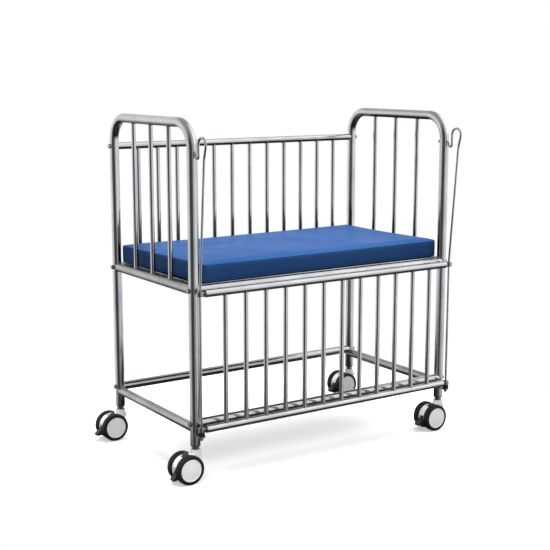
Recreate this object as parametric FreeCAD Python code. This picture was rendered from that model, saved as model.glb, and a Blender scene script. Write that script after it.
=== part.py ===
import FreeCAD, Part
import math
import os

# Pediatric hospital cot of stainless-steel tube, in millimetres.
# +X runs along the cot to the right, +Y to the rear, +Z up. The shapes are built about the middle of
# the four posts on the floor, and save() moves them so that the origin is the bottom centre of the whole.

# ---------------------------------------------------------------- layout of the frame
post_spacing_x = 1070.0          # between the posts' centre lines, along the cot
post_spacing_y = 564.0           # between the posts' centre lines, front to rear
hoop_rise = 1066.0               # centre line of the hoops' top run, above the posts' feet
hoop_bend_radius = 85.0          # centre line of the hoops' upper corners
deck_rail_rise = 523.0           # the four rails round the deck, above the posts' feet
base_cross_rail_rise = 56.0      # the two low rails across the ends, above the posts' feet
base_long_rail_rise = 72.0       # the two low rails along the cot, above the posts' feet
rear_top_rail_drop = 103.0       # below the centre line of the hoops' top run

# ---------------------------------------------------------------- tubes and bars
post_diameter = 34.0
rail_diameter = 32.0
side_rail_diameter = 25.0
tube_wall = 1.5
bar_diameter = 16.0
bar_wall = 1.2
bar_count = 12                   # in the rear side and in the drop side
bar_pitch = 80.0
spindle_count = 3                # in each hooped end
spindle_pitch = 127.0

# ---------------------------------------------------------------- fasteners
frame_bolt_diameter = 8.0
frame_bolt_head_width = 13.0
frame_bolt_head_height = 5.3
frame_washer_diameter = 17.0
frame_washer_thickness = 1.6
frame_insert_length = 30.0
frame_insert_setback = 22.0      # from the post's centre line to the insert
deck_screw_diameter = 6.0
deck_screw_head_diameter = 11.0
deck_screw_head_height = 3.3
deck_screw_spacing = 880.0       # between the two screws of one long rail
deck_screw_tip = 2.0             # beyond its nut
deck_nut_width = 10.0
deck_nut_thickness = 5.0
hexagon_face_margin = 0.3        # from a bolt head's flats in to its round chamfered face
hole_clearance = 0.2             # radial, round a bolt, screw or rod that passes through
thread_clearance = 0.05          # radial, in a threaded hole

# ---------------------------------------------------------------- deck and mattress
deck_sheet = 1.5
deck_flange_depth = 28.0
deck_rise = 16.5                 # pan's top above the centre line of the deck rails
deck_fold_radius = 3.0           # outside of the pan's folds
deck_clearance = 0.2             # between the pan's flanges and the long rails
deck_end_gap = 8.0               # between the pan and the cross rails
deck_hole_diameter = 20.0
deck_hole_columns = 10
deck_hole_rows = 4
deck_hole_pitch_x = 96.0
deck_hole_pitch_y = 116.0
deck_rib_count = 3
deck_rib_pitch = 288.0
deck_rib_width = 24.0
deck_rib_height = 18.0
deck_rib_wall = 1.5
mattress_length = 1016.0
mattress_width = 538.0
mattress_thickness = 64.0
mattress_corner_radius = 10.0
mattress_skew = 18.0             # its front edge lies this far to the right of its rear edge
mattress_shift_y = -3.0          # and the whole a little to the front
mattress_clearance = 0.3         # above the deck

# ---------------------------------------------------------------- drop side and its guide rods
guide_offset = 42.0              # from the posts' centre line forward to the rods
side_top_drop = 5.0              # lowered side's top rail below the deck rails, centre to centre
side_bottom_rise = 5.0           # its bottom rail above the base cross rails, centre to centre
rod_diameter = 8.0
rod_tip = 4.5                    # below the nut under the rod's foot
rod_through_drop = 94.0          # below the hoops' top run, where the rod passes through the post
rod_tail = 12.0                  # beyond the rear face of the post
notch_drop = 17.0                # below the hole in the post
notch_width = 17.0
crook_rise = 50.0                # above the hole in the post
crook_width = 54.0               # between the corners of its two legs
rod_shoulder_drop = 16.0         # top of the leaning run, below the hole in the post
rod_shoulder_offset = 35.0       # how far the leaning run stands out there
notch_bend_radius = 8.0
crook_bend_radius = 22.0
shoulder_bend_radius = 60.0
lean_bend_radius = 80.0
rod_nut_width = 13.0
rod_nut_thickness = 6.5
rod_washer_diameter = 17.0
rod_washer_thickness = 1.6
eye_outer_diameter = 24.0
eye_bore_diameter = 13.0
eye_height = 16.0
eye_edge_radius = 2.0
eye_neck_diameter = 12.0
eye_flange_thickness = 3.0
eye_spigot_length = 26.0
side_end_gap = 8.0               # from the eye's outside to the rail's end
turning_clearance = 0.05         # radial, spigot in the bottom rail and pins in their bores
face_clearance = 0.3             # between faces that turn past or rest on each other
bumper_diameter = 22.0
bumper_height = 12.0
bumper_bore_clearance = 0.1      # radial, bumper on its rod
bracket_width = 24.0
bracket_thickness = 5.0
bracket_nose = 11.0              # beyond the rod's centre

# ---------------------------------------------------------------- casters
wheel_diameter = 100.0
tyre_width = 24.0
tyre_depth = 11.5                # radial
tyre_edge_radius = 5.0
wheel_gap = 32.0                 # between the two wheels of a caster
caster_trail = 38.0              # from the stem back to the axle
axle_diameter = 10.0
rim_cover = 5.0                  # over the end of the axle
rim_dome = 1.0                   # how far the hub cap stands out beyond the tyre
rim_lip = 4.5                    # width of the rolled lip round the hub cap
rim_shell = 4.0
rim_boss_diameter = 24.0
rim_web_depth = 15.0
housing_width = 30.0
housing_cheek = 3.0
housing_inset = 6.0              # from the tread in to the fender
housing_skirt_drop = 26.0        # below the axle
housing_boss_diameter = 18.0
neck_diameter = 36.0
neck_rise = 8.6                  # neck's top above the wheels
neck_length = 14.6
neck_front_drop = 10.0           # below the neck, at the front
neck_root_rise = 8.0             # above the axle, under the stem
cavity_front = 24.0              # behind the stem's axis, where the cheeks part
fender_thickness = 2.5           # wall between the cheeks, over the brake pedal
fender_top_angle = 112.0         # about the axle, from straight ahead over the top
fender_low_angle = 168.0
stem_diameter = 12.0
stem_seat_depth = 22.6           # down from the neck's top
stem_thread_length = 24.0        # up from the post's foot
collar_diameter = 26.0
collar_thickness = 7.0
collar_clearance = 0.4           # above the neck
collar_gap = 4.0                 # from the collar up to the socket
stem_shoulder_wall = 3.0         # radial, on the stem between the collar and the post
socket_flange_thickness = 4.0
socket_length = 30.0
pedal_width = 23.0
pedal_pin_diameter = 5.0
pedal_pin_inset = 19.0           # from the tread
pedal_pin_angle = 135.0          # about the axle, from straight ahead over the top
pedal_inset = 14.0               # from the tread
pedal_thickness = 9.0
pedal_top_angle = 78.0
pedal_low_angle = 196.0
pedal_boss_diameter = 13.0
pedal_toe_reach = 15.0           # behind the tread
pedal_toe_drop = 27.0            # below the axle
pedal_toe_thickness = 6.0
pedal_heel_rise = 13.0           # how far the heel stands out beyond the band
pedal_travel = 14.0              # degrees between free and braked

# ---------------------------------------------------------------- worked out from the sizes above
half_x = post_spacing_x / 2
half_y = post_spacing_y / 2
post_radius = post_diameter / 2
rail_radius = rail_diameter / 2
side_rail_radius = side_rail_diameter / 2
rod_y = -half_y - guide_offset
wheel_radius = wheel_diameter / 2
rim_radius = wheel_radius - tyre_depth
housing_radius = wheel_radius - housing_inset
neck_top_height = wheel_diameter + neck_rise
neck_bottom_height = neck_top_height - neck_length
collar_bottom_height = neck_top_height + collar_clearance
pedal_pin_radius = wheel_radius - pedal_pin_inset
pedal_outer_radius = wheel_radius - pedal_inset
pedal_inner_radius = pedal_outer_radius - pedal_thickness
post_foot_height = collar_bottom_height + collar_thickness + collar_gap + socket_flange_thickness
hoop_top_height = post_foot_height + hoop_rise
deck_rail_height = post_foot_height + deck_rail_rise
base_cross_rail_height = post_foot_height + base_cross_rail_rise
base_long_rail_height = post_foot_height + base_long_rail_rise
deck_top_height = deck_rail_height + deck_rise
rear_top_rail_height = hoop_top_height - rear_top_rail_drop
rod_through_height = hoop_top_height - rod_through_drop
rod_shoulder_height = rod_through_height - rod_shoulder_drop
crook_top_height = rod_through_height + crook_rise
side_top_height = deck_rail_height - side_top_drop
side_bottom_height = base_cross_rail_height + side_bottom_rise
side_rail_end = half_x - eye_outer_diameter / 2 - side_end_gap

# The crook's outer corner turns through more than a right angle, so its bend stands inside the corner.
crook_lean = math.atan((crook_width - rod_shoulder_offset) / (crook_top_height - rod_shoulder_height))
crook_turn = math.pi / 2 + crook_lean
crook_reach = crook_width + crook_bend_radius * (1 - math.tan(crook_turn / 2))

reach_left = half_x + caster_trail + wheel_radius + pedal_toe_reach
reach_right = half_x + post_radius + frame_washer_thickness + frame_bolt_head_height
reach_front = half_y + guide_offset + crook_reach + rod_diameter / 2
reach_rear = half_y + wheel_gap / 2 + tyre_width + rim_dome
origin_shift = FreeCAD.Vector((reach_left - reach_right) / 2, (reach_front - reach_rear) / 2, 0)

X = FreeCAD.Vector(1, 0, 0)
Y = FreeCAD.Vector(0, 1, 0)
Z = FreeCAD.Vector(0, 0, 1)


# ---------------------------------------------------------------- shared shapes
def at(x, y, z):
    return FreeCAD.Vector(x, y, z)


def save(name, *solids):
    """Write the solids of one node, moved to the part's origin."""
    shape = solids[0] if len(solids) == 1 else Part.makeCompound(list(solids))
    shape = shape.copy()
    shape.translate(origin_shift)
    shape.exportStep("parts/" + name + ".step")
    print(name, len(shape.Solids))


def rod(radius, start, end):
    """Solid round bar between two points."""
    run = end - start
    return Part.makeCylinder(radius, run.Length, start, run)


def tube(diameter, wall, start, end):
    """Open-ended round tube between two points."""
    outside = rod(diameter / 2, start, end)
    return outside.cut(rod(diameter / 2 - wall, start, end))


def bent_line(corners, bend_radii):
    """Straight runs through the corners, which are rounded to the given radii."""
    edges = []
    run_start = corners[0]
    for index, bend_radius in enumerate(bend_radii, start=1):
        heading = (corners[index] - corners[index - 1]).normalize()
        turned = (corners[index + 1] - corners[index]).normalize()
        half_turn = heading.getAngle(turned) / 2
        bend_start = corners[index] - heading * (bend_radius * math.tan(half_turn))
        bend_end = corners[index] + turned * (bend_radius * math.tan(half_turn))
        inward = (turned - heading).normalize()
        bend_middle = corners[index] + inward * (bend_radius / math.cos(half_turn) - bend_radius)
        edges.append(Part.makeLine(run_start, bend_start))
        edges.append(Part.Arc(bend_start, bend_middle, bend_end).toShape())
        run_start = bend_end
    edges.append(Part.makeLine(run_start, corners[-1]))
    return Part.Wire(edges)


def bent_rod(radius, corners, bend_radii):
    """Round bar along straight runs whose corners are bent to the given radii."""
    section = Part.Circle(corners[0], corners[1] - corners[0], radius).toShape()
    return bent_line(corners, bend_radii).makePipe(Part.Face(Part.Wire(section)))


def hexagon(width, thickness, start, axis):
    """Hexagonal prism, such as a bolt head or a nut, given across its flats."""
    corner_radius = width / math.sqrt(3)
    flat = Part.makePolygon([at(corner_radius * math.cos(math.radians(60 * k)),
                                corner_radius * math.sin(math.radians(60 * k)), 0) for k in range(7)])
    prism = Part.Face(flat).extrude(Z * thickness)
    face_radius = width / 2 - hexagon_face_margin
    blunted = Part.makeCone(face_radius + thickness * math.sqrt(3), face_radius, thickness)
    prism = prism.common(blunted)
    prism.Placement = FreeCAD.Placement(start, FreeCAD.Rotation(Z, axis))
    return prism


def nut(width, thickness, bore, start, axis):
    """Hexagonal nut with its bore."""
    body = hexagon(width, thickness, start, axis)
    return body.cut(rod(bore / 2, start, start + axis * thickness))


def washer(diameter, thickness, bore, start, axis):
    """Flat ring."""
    outside = rod(diameter / 2, start, start + axis * thickness)
    return outside.cut(rod(bore / 2, start, start + axis * thickness))


def spread(count, pitch):
    """Positions of a row of equal pitch, centred on zero."""
    return [(k - (count - 1) / 2) * pitch for k in range(count)]


def revolved(profile, centre):
    """Solid of revolution about the Y direction from (radius, along) points."""
    points = [at(centre.x + radius, centre.y + along, centre.z) for radius, along in profile]
    face = Part.Face(Part.makePolygon(points + [points[0]]))
    return face.revolve(centre, Y, 360)


# ---------------------------------------------------------------- the two hooped ends
def post_axis(x, y):
    """Solid of a post's outside, used to cope what is welded or bolted against it."""
    return rod(post_radius, at(x, y, post_foot_height), at(x, y, hoop_top_height - hoop_bend_radius))


def posts_at(x):
    return post_axis(x, -half_y).fuse(post_axis(x, half_y))


def ends_beside(y):
    """Solid of both posts on one long side, with the cross rails that are welded to them."""
    posts = [post_axis(side * half_x, y) for side in (-1, 1)]
    rails = [rod(rail_radius, at(side * half_x, -half_y, height), at(side * half_x, half_y, height))
             for side in (-1, 1) for height in (deck_rail_height, base_cross_rail_height)]
    return posts[0].multiFuse(posts[1:] + rails)


def largest(shape):
    """The main solid of a coped blank, without its offcuts."""
    return max(shape.Solids, key=lambda solid: solid.Volume)


def long_rail_joints(side_x):
    """Where the long rails are bolted to the posts of one end: (x, y, height)."""
    front = [(side_x, -half_y, deck_rail_height), (side_x, -half_y, base_long_rail_height)]
    rear = [(side_x, half_y, deck_rail_height), (side_x, half_y, base_long_rail_height),
            (side_x, half_y, rear_top_rail_height)]
    return front + rear


def hoop(side_x):
    """Both posts and the top of one end, a single bent tube, drilled for bolts and guide rod."""
    corners = [at(side_x, -half_y, post_foot_height), at(side_x, -half_y, hoop_top_height),
               at(side_x, half_y, hoop_top_height), at(side_x, half_y, post_foot_height)]
    bends = [hoop_bend_radius, hoop_bend_radius]
    body = bent_rod(post_radius, corners, bends).cut(bent_rod(post_radius - tube_wall, corners, bends))
    bolt_hole = frame_bolt_diameter / 2 + hole_clearance
    for x, y, height in long_rail_joints(side_x):
        body = body.cut(rod(bolt_hole, at(x - post_diameter, y, height), at(x + post_diameter, y, height)))
    rod_hole = rod_diameter / 2 + hole_clearance
    return body.cut(rod(rod_hole, at(side_x, -half_y - post_diameter, rod_through_height),
                        at(side_x, -half_y + post_diameter, rod_through_height)))


def cross_rail(side_x, height):
    """Rail across one end, coped and welded to the two posts."""
    blank = tube(rail_diameter, tube_wall, at(side_x, -half_y, height), at(side_x, half_y, height))
    return largest(blank.cut(posts_at(side_x)))


def end_spindles(side_x):
    """Upright bars between the deck rail and the hoop's top run."""
    top_run = rod(post_radius, at(side_x, -half_y, hoop_top_height), at(side_x, half_y, hoop_top_height))
    deck_run = rod(rail_radius, at(side_x, -half_y, deck_rail_height), at(side_x, half_y, deck_rail_height))
    coping = top_run.fuse(deck_run)
    bars = []
    for y in spread(spindle_count, spindle_pitch):
        blank = tube(bar_diameter, bar_wall, at(side_x, y, deck_rail_height), at(side_x, y, hoop_top_height))
        bars.append(largest(blank.cut(coping)))
    return bars


# ---------------------------------------------------------------- long rails and rear side
def long_rail(y, height, diameter):
    """Rail along the cot, coped to the posts and cross rails and held by a bolt at each end."""
    blank = tube(diameter, tube_wall, at(-half_x, y, height), at(half_x, y, height))
    return largest(blank.cut(ends_beside(y)))


def deck_rail(y):
    """Long rail at deck height, drilled for the deck's two screws."""
    body = long_rail(y, deck_rail_height, rail_diameter)
    screw_hole = deck_screw_diameter / 2 + hole_clearance
    for x in spread(2, deck_screw_spacing):
        body = body.cut(rod(screw_hole, at(x, y - rail_diameter, deck_rail_height),
                            at(x, y + rail_diameter, deck_rail_height)))
    return body


def upright_bars(y, low, low_radius, high, high_radius):
    """Row of bars along the cot, coped between a lower and an upper rail."""
    low_run = rod(low_radius, at(-half_x, y, low), at(half_x, y, low))
    high_run = rod(high_radius, at(-half_x, y, high), at(half_x, y, high))
    coping = low_run.fuse(high_run)
    bars = []
    for x in spread(bar_count, bar_pitch):
        blank = tube(bar_diameter, bar_wall, at(x, y, low), at(x, y, high))
        bars.append(largest(blank.cut(coping)))
    return bars


def rail_bore(height):
    """Inside radius of the long rail that is bolted at this height."""
    diameter = side_rail_diameter if height == rear_top_rail_height else rail_diameter
    return diameter / 2 - tube_wall


def frame_bolts_and_inserts():
    """Hexagon bolts through the posts, each with its washer, and the plugs they screw into."""
    bolts = []
    inserts = []
    head_gap = post_radius + frame_washer_thickness
    for side in (-1, 1):
        inward = X * -side
        for x, y, height in long_rail_joints(side * half_x):
            centre = at(x, y, height)
            head_start = centre - inward * head_gap
            head = hexagon(frame_bolt_head_width, frame_bolt_head_height, head_start, -inward)
            shank_end = centre + inward * (frame_insert_setback + frame_insert_length)
            shank = rod(frame_bolt_diameter / 2, head_start, shank_end)
            ring = rod(frame_washer_diameter / 2, head_start, centre - inward * post_radius)
            bolts.append(head.multiFuse([shank, ring]).removeSplitter())
            plug_start = centre + inward * frame_insert_setback
            plug = rod(rail_bore(height), plug_start, shank_end)
            bore = rod(frame_bolt_diameter / 2 + thread_clearance, plug_start, shank_end)
            inserts.append(plug.cut(bore))
    return bolts, inserts


# ---------------------------------------------------------------- deck and mattress
def deck_half_x():
    return half_x - rail_radius - deck_end_gap


def deck_half_y():
    return half_y - rail_radius - deck_clearance


def mattress_deck():
    """Steel pan with folded flanges inside the rails, air holes and screw holes."""
    length = deck_half_x()
    width = deck_half_y()
    low = deck_top_height - deck_flange_depth
    outside = Part.makeBox(2 * length, 2 * width, deck_flange_depth, at(-length, -width, low))
    inside = Part.makeBox(2 * (length - deck_sheet), 2 * (width - deck_sheet),
                          deck_flange_depth - deck_sheet, at(-length + deck_sheet, -width + deck_sheet, low))
    folds = [edge for edge in outside.Edges if edge.CenterOfMass.z > low + 1]
    inner_folds = [edge for edge in inside.Edges if edge.CenterOfMass.z > low + 1]
    pan = outside.makeFillet(deck_fold_radius, folds)
    pan = pan.cut(inside.makeFillet(deck_fold_radius - deck_sheet, inner_folds))
    holes = []
    for x in spread(deck_hole_columns, deck_hole_pitch_x):
        for y in spread(deck_hole_rows, deck_hole_pitch_y):
            holes.append(rod(deck_hole_diameter / 2, at(x, y, low), at(x, y, deck_top_height)))
    screw_hole = deck_screw_diameter / 2 + hole_clearance
    for x in spread(2, deck_screw_spacing):
        holes.append(rod(screw_hole, at(x, -half_y, deck_rail_height), at(x, half_y, deck_rail_height)))
    return largest(pan.cut(Part.makeCompound(holes)))


def deck_ribs():
    """Channels under the pan, open at the top, that stiffen it between the long folds."""
    width = deck_half_y() - deck_fold_radius
    top = deck_top_height - deck_sheet
    ribs = []
    for x in spread(deck_rib_count, deck_rib_pitch):
        outside = Part.makeBox(deck_rib_width, 2 * width, deck_rib_height,
                               at(x - deck_rib_width / 2, -width, top - deck_rib_height))
        inside = Part.makeBox(deck_rib_width - 2 * deck_rib_wall, 2 * width, deck_rib_height - deck_rib_wall,
                              at(x - deck_rib_width / 2 + deck_rib_wall, -width,
                                 top - deck_rib_height + deck_rib_wall))
        ribs.append(outside.cut(inside))
    return ribs


def deck_fasteners():
    """Button-head screws through the long deck rails and the pan's flanges, with their nuts."""
    pieces = []
    flange_inside = deck_half_y() - deck_sheet
    for side in (-1, 1):
        outward = Y * side
        for x in spread(2, deck_screw_spacing):
            head_start = at(x, side * (half_y + rail_radius), deck_rail_height)
            head_end = head_start + outward * deck_screw_head_height
            head = rod(deck_screw_head_diameter / 2, head_start, head_end)
            rim = [edge for edge in head.Edges if abs(edge.CenterOfMass.y) > abs(head_start.y) + 1]
            head = head.makeFillet(deck_screw_head_height * 0.7, rim[:1])
            nut_start = at(x, side * flange_inside, deck_rail_height)
            tip = nut_start - outward * (deck_nut_thickness + deck_screw_tip)
            shank = rod(deck_screw_diameter / 2, tip, head_start)
            pieces.append(head.fuse(shank).removeSplitter())
            pieces.append(nut(deck_nut_width, deck_nut_thickness, deck_screw_diameter + 2 * thread_clearance,
                              nut_start, -outward))
    return pieces


def mattress():
    """Foam mattress, a plain block with rounded upright corners, pushed a little out of square."""
    low = deck_top_height + mattress_clearance
    end = mattress_length / 2
    slip = mattress_skew / 2
    front = mattress_shift_y - mattress_width / 2
    rear = mattress_shift_y + mattress_width / 2
    outline = [at(slip - end, front, low), at(slip + end, front, low),
               at(end - slip, rear, low), at(-end - slip, rear, low)]
    block = Part.Face(Part.makePolygon(outline + outline[:1])).extrude(Z * mattress_thickness)
    upright = [edge for edge in block.Edges if abs(edge.Length - mattress_thickness) < 0.01
               and abs(edge.Vertexes[0].Z - edge.Vertexes[1].Z) > 1]
    return block.makeFillet(mattress_corner_radius, upright)


# ---------------------------------------------------------------- guide rods
def guide_rod(side_x):
    """Rod in front of one post: through the post, notch, crook, leaning run and upright run."""
    front = -half_y
    corners = [at(side_x, front + post_radius + rod_tail, rod_through_height),
               at(side_x, rod_y + notch_width, rod_through_height),
               at(side_x, rod_y + notch_width, rod_through_height - notch_drop),
               at(side_x, rod_y, rod_through_height - notch_drop),
               at(side_x, rod_y, crook_top_height),
               at(side_x, rod_y - crook_width, crook_top_height),
               at(side_x, rod_y - rod_shoulder_offset, rod_shoulder_height),
               at(side_x, rod_y, side_top_height),
               at(side_x, rod_y, bracket_top() - bracket_thickness - rod_nut_thickness - rod_tip)]
    bends = [notch_bend_radius, notch_bend_radius, notch_bend_radius, crook_bend_radius, crook_bend_radius,
             shoulder_bend_radius, lean_bend_radius]
    return bent_rod(rod_diameter / 2, corners, bends)


def bumper_top():
    return side_bottom_height - eye_height / 2 - face_clearance


def bracket_top():
    return bumper_top() - bumper_height


def rod_bracket(side_x):
    """Plate welded to the front of the post, with a hole for the rod's foot."""
    low = bracket_top() - bracket_thickness
    nose = rod_y - bracket_nose
    plate = Part.makeBox(bracket_width, -half_y - nose, bracket_thickness,
                         at(side_x - bracket_width / 2, nose, low))
    corners = [edge for edge in plate.Edges if abs(edge.Length - bracket_thickness) < 0.01
               and edge.CenterOfMass.y < rod_y]
    plate = plate.makeFillet(bracket_nose * 0.8, corners)
    foot = rod(rod_diameter / 2, at(side_x, rod_y, low), at(side_x, rod_y, bracket_top()))
    return plate.cut(post_axis(side_x, -half_y)).cut(foot)


def rod_bumper(side_x):
    """Rubber ring on the rod, on which the lowered side's eye rests."""
    start = at(side_x, rod_y, bracket_top())
    ring = washer(bumper_diameter, bumper_height, rod_diameter + 2 * bumper_bore_clearance, start, Z)
    rim = [edge for edge in ring.Edges if edge.Length > math.pi * bumper_diameter * 0.9
           and edge.Curve.TypeId == "Part::GeomCircle" and edge.CenterOfMass.z > start.z + 1]
    return ring.makeFillet(eye_edge_radius, rim)


def rod_nuts(side_x):
    """Washer and nut behind the post, and the nut under the bracket."""
    bore = rod_diameter + 2 * thread_clearance
    rear_face = at(side_x, -half_y + post_radius, rod_through_height)
    ring = washer(rod_washer_diameter, rod_washer_thickness, bore, rear_face, Y)
    rear_nut = nut(rod_nut_width, rod_nut_thickness, bore, rear_face + Y * rod_washer_thickness, Y)
    under_bracket = at(side_x, rod_y, bracket_top() - bracket_thickness)
    foot_nut = nut(rod_nut_width, rod_nut_thickness, bore, under_bracket, -Z)
    return [ring, rear_nut, foot_nut]


# ---------------------------------------------------------------- drop side
def eye(side, height, spigot_radius, flange_gap):
    """Ring on the guide rod with its neck, flange and the spigot inside the rail's end."""
    centre = at(side * half_x, rod_y, height)
    low = centre - Z * (eye_height / 2)
    ring = rod(eye_outer_diameter / 2, low, low + Z * eye_height)
    edges = [edge for edge in ring.Edges if edge.Curve.TypeId == "Part::GeomCircle"]
    ring = ring.makeFillet(eye_edge_radius, edges)
    flange_face = at(side * (side_rail_end + flange_gap), rod_y, height)
    neck = rod(eye_neck_diameter / 2, centre, flange_face)
    flange = rod(side_rail_radius, flange_face, flange_face + X * (side * eye_flange_thickness))
    spigot = rod(spigot_radius, flange_face, flange_face - X * (side * (eye_spigot_length + flange_gap)))
    body = ring.multiFuse([neck, flange, spigot])
    return body.cut(rod(eye_bore_diameter / 2, low - Z, low + Z * (eye_height + 1)))


def side_rail(height):
    """Top or bottom rail of the drop side."""
    left_end = at(-side_rail_end, rod_y, height)
    return tube(side_rail_diameter, tube_wall, left_end, left_end + X * (2 * side_rail_end))


# ---------------------------------------------------------------- casters
def axle_centre(x, y):
    return at(x - caster_trail, y, wheel_radius)


def about_axle(x, y, radius, angle):
    """Point at a radius and angle about a caster's axle, measured from straight ahead over the top."""
    turn = math.radians(angle)
    return axle_centre(x, y) + X * (radius * math.cos(turn)) + Z * (radius * math.sin(turn))


def slab(points, y, width):
    """Plate of the given outline in the XZ plane, centred on y."""
    outline = Part.makePolygon([at(point.x, y - width / 2, point.z) for point in points + points[:1]])
    return Part.Face(outline).extrude(Y * width)


def pedal_pin_centre(x, y):
    return about_axle(x, y, pedal_pin_radius, pedal_pin_angle)


def fender_wall(x, y):
    """Curved wall over the brake pedal, between its heel and its toe."""
    axle = axle_centre(x, y)
    outside = rod(housing_radius, axle - Y * housing_width, axle + Y * housing_width)
    inside = rod(housing_radius - fender_thickness, axle - Y * housing_width, axle + Y * housing_width)
    wedge = slab([axle, about_axle(x, y, 2 * housing_radius, fender_top_angle),
                  about_axle(x, y, 2 * housing_radius, fender_low_angle)], y, 2 * housing_width)
    return outside.cut(inside).common(wedge)


def caster_housing(x, y):
    """Fork housing between the wheels: cheeks joined by a fender, a solid front and the neck."""
    axle = axle_centre(x, y)
    fender = rod(housing_radius, axle - Y * (housing_width / 2), axle + Y * (housing_width / 2))
    neck_radius = neck_diameter / 2
    web = slab([at(x + neck_radius, y, neck_bottom_height),
                at(x + neck_radius, y, neck_bottom_height - neck_front_drop),
                at(x, y, wheel_radius + neck_root_rise), axle,
                at(axle.x, y, wheel_radius + housing_radius), at(x - neck_radius, y, neck_bottom_height)],
               y, housing_width)
    neck = rod(neck_radius, at(x, y, neck_bottom_height), at(x, y, neck_top_height))
    body = fender.fuse(web)
    below = Part.makeBox(4 * housing_radius, 2 * housing_width, wheel_radius - housing_skirt_drop,
                         at(axle.x - 2 * housing_radius, y - housing_width, 0))
    body = body.cut(below)
    cavity_width = housing_width - 2 * housing_cheek
    cavity = Part.makeBox(2 * housing_radius, cavity_width, 2 * wheel_diameter,
                          at(x - cavity_front - 2 * housing_radius, y - cavity_width / 2, 0))
    cavity = cavity.cut(fender_wall(x, y))
    boss = rod(housing_boss_diameter / 2, axle - Y * (housing_width / 2), axle + Y * (housing_width / 2))
    body = body.cut(cavity).fuse(boss).fuse(neck)
    axle_hole = rod(axle_diameter / 2, axle - Y * housing_width, axle + Y * housing_width)
    pin = pedal_pin_centre(x, y)
    pin_hole = rod(pedal_pin_diameter / 2, pin - Y * housing_width, pin + Y * housing_width)
    seat_height = neck_top_height - stem_seat_depth - face_clearance
    stem_hole = rod(stem_diameter / 2 + turning_clearance, at(x, y, seat_height), at(x, y, neck_top_height))
    return body.cut(axle_hole).cut(pin_hole).cut(stem_hole)


def caster_pins(x, y):
    """Axle of both wheels, and the pin that the brake pedal rocks on."""
    axle = axle_centre(x, y)
    axle_reach = wheel_gap / 2 + tyre_width - rim_cover - face_clearance
    pin = pedal_pin_centre(x, y)
    return [rod(axle_diameter / 2, axle - Y * axle_reach, axle + Y * axle_reach),
            rod(pedal_pin_diameter / 2, pin - Y * (housing_width / 2), pin + Y * (housing_width / 2))]


def brake_pedal(x, y, tipped):
    """Rocker round the back of the housing: toe at the rear, heel by the neck."""
    axle = axle_centre(x, y)
    steps = 12
    sweep = [pedal_top_angle + (pedal_low_angle - pedal_top_angle) * k / steps for k in range(steps + 1)]
    outer = [about_axle(x, y, pedal_outer_radius, angle) for angle in sweep]
    inner = [about_axle(x, y, pedal_inner_radius, angle) for angle in reversed(sweep)]
    band = slab(outer + inner, y, pedal_width)
    toe_end = axle.x - wheel_radius - pedal_toe_reach
    toe_low = axle.z - pedal_toe_drop
    toe = slab([inner[0], outer[-3], at(toe_end, y, toe_low + pedal_toe_thickness), at(toe_end, y, toe_low),
                at(axle.x - pedal_outer_radius, y, toe_low - 1)], y, pedal_width)
    heel_tip = about_axle(x, y, pedal_outer_radius + pedal_heel_rise, pedal_top_angle)
    heel = slab([outer[0], heel_tip, outer[2]], y, pedal_width)
    pin = pedal_pin_centre(x, y)
    boss = rod(pedal_boss_diameter / 2, pin - Y * (pedal_width / 2), pin + Y * (pedal_width / 2))
    bore = rod(pedal_pin_diameter / 2 + turning_clearance, pin - Y * pedal_width, pin + Y * pedal_width)
    body = band.multiFuse([toe, heel, boss]).cut(bore).removeSplitter()
    body.rotate(pin, -Y, tipped)
    return body


def wheel_profile_to_solid(profile, x, y, outward):
    """Revolve a (radius, distance from the wheel's inner face) outline about the axle."""
    start = axle_centre(x, y) + Y * (outward * wheel_gap / 2)
    return revolved([(radius, outward * along) for radius, along in profile], start)


def tyre(x, y, outward):
    """Tread ring with rounded shoulders."""
    ring = wheel_profile_to_solid([(rim_radius, 0), (wheel_radius, 0), (wheel_radius, tyre_width),
                                   (rim_radius, tyre_width)], x, y, outward)
    shoulders = [edge for edge in ring.Edges if edge.Curve.TypeId == "Part::GeomCircle"
                 and edge.Curve.Radius > wheel_radius - 0.01]
    return ring.makeFillet(tyre_edge_radius, shoulders)


def rim(x, y, outward):
    """Hub with a plain domed cap on its outer face and a web on its inner face."""
    bore = axle_diameter / 2 + turning_clearance
    cap = tyre_width + rim_dome
    boss_radius = rim_boss_diameter / 2
    shell_inside = rim_radius - rim_shell
    inner_face = [(0, tyre_width - rim_cover), (bore, tyre_width - rim_cover), (bore, 0), (boss_radius, 0),
                  (boss_radius, rim_web_depth), (shell_inside, rim_web_depth), (shell_inside, 0)]
    outer_face = [(rim_radius, 0), (rim_radius, tyre_width - rim_dome), (rim_radius - rim_lip / 2, cap),
                  (rim_radius - rim_lip, tyre_width),
                  (rim_radius / 2, tyre_width + rim_dome * 0.7), (0, cap)]
    return wheel_profile_to_solid(inner_face + outer_face, x, y, outward)


def caster_stem(x, y):
    """Stem with its collar, screwed into the socket above and turning in the neck below."""
    stem = rod(stem_diameter / 2, at(x, y, neck_top_height - stem_seat_depth),
               at(x, y, post_foot_height + stem_thread_length))
    collar = rod(collar_diameter / 2, at(x, y, collar_bottom_height),
                 at(x, y, collar_bottom_height + collar_thickness))
    shoulder = rod(stem_diameter / 2 + stem_shoulder_wall, at(x, y, collar_bottom_height + collar_thickness),
                   at(x, y, post_foot_height - socket_flange_thickness))
    return stem.multiFuse([collar, shoulder]).removeSplitter()


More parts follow.
